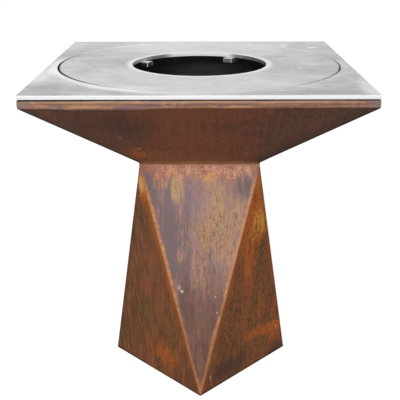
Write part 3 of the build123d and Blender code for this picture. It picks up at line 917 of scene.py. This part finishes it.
def pedestal_panel(name, triangle, past_second, past_third, ridge_glow, finish):
    """One panel of sheet with its half of the two ground ridges, mitred on the inside."""
    point, second, third = triangle
    facing = outward(triangle)
    middle = (second + third) / 2
    ridges = []
    for end, past in ((second, outward(past_second)), (third, outward(past_third))):
        along = (end - point).normalized()
        inward = (middle - point) - along * (middle - point).dot(along)
        ridges.append((end, past, along, inward.normalized()))

    rows = []
    for row in range(1, PANEL_ROWS + 1):
        share = row / PANEL_ROWS
        row_width = (second - third).length * share
        halves = [
            ground_ridge(point, end, share, inward, facing, past, row_width)
            for end, past, along, inward in ridges
        ]
        start, stop = halves[0][-1], halves[1][-1]
        flat = [start.lerp(stop, column / PANEL_COLUMNS) for column in range(1, PANEL_COLUMNS)]
        rows.append(halves[0] + flat + halves[1][::-1])

    backs = []
    for end, past, along, inward in ridges:
        depth = SHEET / math.cos(facing.angle(past) / 2)
        backs.append((facing + past).normalized() * depth)
    across_ends = (second - third).normalized()
    crossing = (backs[0] - backs[1]).dot(across_ends) / (second - third).length
    inner_point = point.lerp(second, crossing) - backs[0]

    width = len(rows[0])
    points = [point, inner_point, second - backs[0], third - backs[1]]
    first = len(points)
    points += [corner for row in rows for corner in row]
    last = first + (PANEL_ROWS - 1) * width
    faces = [(0, first + column, first + column + 1) for column in range(width - 1)]
    for row in range(PANEL_ROWS - 1):
        low = first + row * width
        faces += [
            (low + column, low + width + column, low + width + column + 1, low + column + 1)
            for column in range(width - 1)
        ]
    second_crest = [first + row * width for row in range(PANEL_ROWS)]
    third_crest = [crest + width - 1 for crest in second_crest]
    faces.append((0, *second_crest, 2, 1))
    faces.append((0, *third_crest, 3, 1))
    faces.append((*range(last, last + width), 3, 2))
    faces.append((1, 2, 3))

    upward = (Vector((0, 0, 1)) - facing * facing.z).normalized()
    sideways = upward.cross(facing)
    for corner in points:
        corner.z = min(max(corner.z, 0.0), pedestal_height)
    places = [(corner.dot(sideways), corner.z / upward.z, SHEETS[name]) for corner in points]
    edges = []
    glows = []
    for corner in points:
        reach = corner - point
        distances = [(reach - along * reach.dot(along)).length for end, past, along, inward in ridges]
        edges.append(min(distances))
        glows.append(ridge_glow[distances.index(min(distances))])
    make_piece(f"pedestal_panel_{name}", points, faces, [finish], [0] * len(faces), places, edges, glows)


# Bowl walls
def wall_profile(inset):
    """Section of a wall from the flange's edge to the foot, set in from outside: reach, height and run."""
    radius = BEND_RADIUS - inset
    bend_z = flange_z - BEND_RADIUS
    fold_z = flange_z - LIP_HEIGHT + fold_length
    bend_reach = lip_reach - BEND_RADIUS
    section = [(lip_reach - FLANGE_WIDTH, flange_z - inset)]
    for step in range(BEND_STEPS + 1):
        turn = math.radians(90) * step / BEND_STEPS
        section.append((bend_reach + radius * math.sin(turn), bend_z + radius * math.cos(turn)))
    for step in range(BEND_STEPS + 1):
        turn = slope_lean * step / BEND_STEPS
        section.append((bend_reach + radius * math.cos(turn), fold_z - radius * math.sin(turn)))
    reach, height = section[-1]
    foot_reach = reach - (height - bowl_foot_z) * math.tan(slope_lean)
    for row in range(1, WALL_ROWS + 1):
        share = row / WALL_ROWS
        section.append((reach + (foot_reach - reach) * share, height + (bowl_foot_z - height) * share))
    runs = [0.0]
    for (reach, height), (next_reach, next_height) in zip(section[::-1], section[-2::-1]):
        runs.append(runs[-1] + math.hypot(next_reach - reach, next_height - height))
    return [(reach, height, run) for (reach, height), run in zip(section, runs[::-1])]


def hip_radius(reach, height, inset):
    """Rounding of a hip in plan: next to none at the flange's edge, little at the foot."""
    from_foot = ease((height - bowl_foot_z) / HIP_FADE)
    from_edge = 1.0
    if height > flange_z - BEND_RADIUS:
        from_edge = ease((reach - (lip_reach - FLANGE_WIDTH)) / FLANGE_WIDTH)
    radius = max(HIP_RADIUS - inset, INNER_HIP_RADIUS) * (HIP_AT_FOOT + (1 - HIP_AT_FOOT) * from_foot)
    return radius * (HIP_AT_FLANGE + (1 - HIP_AT_FLANGE) * from_edge)


def bowl_wall(name, angle, outside, inside):
    """One folded wall with its half of the two rounded hips, mitred at both ends."""
    outer = wall_profile(0.0)
    inner = wall_profile(SHEET)
    section = [(*spot, 0.0) for spot in outer] + [(*spot, SHEET) for spot in inner[::-1]]
    outward_axis = around(1, angle)
    side_axis = around(1, angle + 90)
    points = []
    places = []
    edges = []
    for reach, height, run, inset in section:
        radius = hip_radius(reach, height, inset)
        straight = reach - radius
        half = []
        for step in range(HIP_STEPS + 1):
            turn = math.radians(45) * (1 - step / HIP_STEPS)
            half.append((straight + radius * math.cos(turn), straight + radius * math.sin(turn)))
        flat = [
            (reach, straight * (1 - 2 * column / WALL_COLUMNS))
            for column in range(1, WALL_COLUMNS)
        ]
        line = half + flat + [(out, -side) for out, side in half[::-1]]
        for out, side in line:
            points.append(outward_axis * out + side_axis * side + Vector((0, 0, height)))
            places.append((side, run, SHEETS[name]))
            edges.append(reach - abs(side))
    width = 2 * (HIP_STEPS + 1) + WALL_COLUMNS - 1
    count = len(section)
    faces = []
    finish_of_face = []
    for spot in range(count):
        here = spot * width
        there = (spot + 1) % count * width
        for column in range(width - 1):
            faces.append((here + column, here + column + 1, there + column + 1, there + column))
            finish_of_face.append(0 if spot < len(outer) - 1 else 1)
    for end in (0, width - 1):
        faces.append(tuple(spot * width + end for spot in range(count)))
        finish_of_face.append(1)
    glows = [0.0] * len(points)
    make_piece(f"bowl_wall_{name}", points, faces, [outside, inside], finish_of_face, places, edges, glows)


side_rust = side_panel_rust()
corner_rust = corner_panel_rust()
bowl_outside = bowl_rust()
bowl_inside = bowl_soot()
for turn, (side, corner, next_side) in enumerate(zip(SIDES, CORNERS, SIDES[1:] + SIDES[:1])):
    angle = 90 * turn
    pedestal_panel(
        side,
        side_triangle(angle),
        corner_triangle(angle + 45),
        corner_triangle(angle - 45),
        (RIDGE_GLOW[side], RIDGE_GLOW[side]),
        side_rust,
    )
    pedestal_panel(
        corner,
        corner_triangle(angle + 45),
        side_triangle(angle),
        side_triangle(angle + 90),
        (RIDGE_GLOW[side], RIDGE_GLOW[next_side]),
        corner_rust,
    )
    bowl_wall(side, angle, bowl_outside, bowl_inside)


# Finishes of the solid pieces
def dress(finish, *nodes):
    """Put a finish on pieces that keep the shape of the frame."""
    for node in nodes:
        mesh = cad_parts[node].data
        mesh.materials.clear()
        mesh.materials.append(finish)


dress(bare_plate_steel(), "top_plate", "cooking_ring")
dress(lug_steel(), "locating_pins", *[f"grill_lug_{corner}" for corner in CORNERS])
dress(clamped_plate_rust(), "pedestal_top_plate", "bowl_floor")
dress(foot_rust(), *[f"foot_rail_{corner}" for corner in CORNERS])
dress(
    sooted_grate_steel(),
    "fire_grate_bars",
    "fire_grate_legs",
    *[f"fire_grate_rail_{side}" for side in SIDES],
)
dress(zinc_plating(), "clamp_bolts", "clamp_washers", "clamp_nuts")


# Floor, light and camera
FLOOR_HALF = 30.0
FLOOR_GLOW = 0.80
FLOOR_DIM_IN = 0.006  # from the foot's edge inwards
FLOOR_CLEAR_IN = 0.002
AMBIENT = 0.37
BACKDROP = 1.0
LAMP_PLACE = Vector((-0.5, -3.4, 3.0))
LAMP_AIM = Vector((0, 0, 0.5))
LAMP_SIZE = 2.4
LAMP_POWER = 110
SENSOR_WIDTH = 36.0  # millimetres
LENS = 65.57
LENS_SHIFT = (-0.0125, 0.0015)
CAMERA_ASIDE = 0.0059
CAMERA_AWAY = 1.9688
CAMERA_OVER_PLATE = 0.3426
CAMERA_DOWN = 20.55  # degrees
CAMERA_ROLL = 0.06
CAMERA_TURN = -0.276


def seen_directly(finish):
    """1 for what the camera, a reflection or a view through glass sees, 0 for light on the object."""
    ray = "ShaderNodeLightPath"
    seen = finish.node(ray, output="Is Camera Ray") + finish.node(ray, output="Is Glossy Ray")
    return seen + finish.node(ray, output="Is Transmission Ray")


def pale_floor():
    """White around the object, dim inside the pedestal's foot."""
    finish, place = solid_finish("pale_floor")
    bounce = finish.node("ShaderNodeBsdfDiffuse", inputs={"Color": FLOOR_BOUNCE})
    glow = finish.node("ShaderNodeEmission", inputs={"Strength": FLOOR_GLOW})
    shaded = finish.node("ShaderNodeBsdfDiffuse", inputs={"Color": FLOOR_SHADED})
    white = finish.node("ShaderNodeAddShader", inputs={0: glow, 1: shaded})
    place = vector("ABSOLUTE", place)
    reach = axis(place, 0) + axis(place, 1)
    clear = rise(reach, base_reach - FLOOR_DIM_IN, base_reach - FLOOR_CLEAR_IN)
    share = seen_directly(finish) * clear
    return finish.end(finish.node("ShaderNodeMixShader", inputs={0: share, 1: bounce, 2: white}))


floor_mesh = bpy.data.meshes.new("floor")
floor_corners = [(x * FLOOR_HALF, y * FLOOR_HALF, 0.0) for x, y in ((-1, -1), (1, -1), (1, 1), (-1, 1))]
floor_mesh.from_pydata(floor_corners, [], [(0, 1, 2, 3)])
floor_mesh.materials.append(pale_floor())
floor = bpy.data.objects.new("floor", floor_mesh)
bpy.context.scene.collection.objects.link(floor)

surround = Finish(bpy.data.worlds.new("soft_surround"), "ShaderNodeOutputWorld")
ambient = surround.node("ShaderNodeBackground", inputs={"Color": WHITE, "Strength": AMBIENT})
backdrop = surround.node("ShaderNodeBackground", inputs={"Color": WHITE, "Strength": BACKDROP})
views = {0: seen_directly(surround), 1: ambient, 2: backdrop}
bpy.context.scene.world = surround.end(surround.node("ShaderNodeMixShader", inputs=views))

lamp = bpy.data.lights.new("front_lamp", "AREA")
lamp.shape = "SQUARE"
lamp.size = LAMP_SIZE
lamp.energy = LAMP_POWER
lamp_holder = bpy.data.objects.new("front_lamp", lamp)
lamp_holder.location = LAMP_PLACE
lamp_holder.rotation_euler = (LAMP_AIM - LAMP_PLACE).to_track_quat("-Z", "Y").to_euler()
lamp_holder.visible_glossy = False
bpy.context.scene.collection.objects.link(lamp_holder)

camera_data = bpy.data.cameras.new("camera")
camera_data.sensor_width = SENSOR_WIDTH
camera_data.lens = LENS
camera_data.shift_x, camera_data.shift_y = LENS_SHIFT
camera = bpy.data.objects.new("camera", camera_data)
camera.location = (CAMERA_ASIDE, -CAMERA_AWAY, plate_z + CAMERA_OVER_PLATE)
camera.rotation_euler = [math.radians(turn) for turn in (90 - CAMERA_DOWN, CAMERA_ROLL, CAMERA_TURN)]
bpy.context.scene.collection.objects.link(camera)
bpy.context.scene.camera = camera
bpy.context.scene.view_settings.view_transform = "Standard"
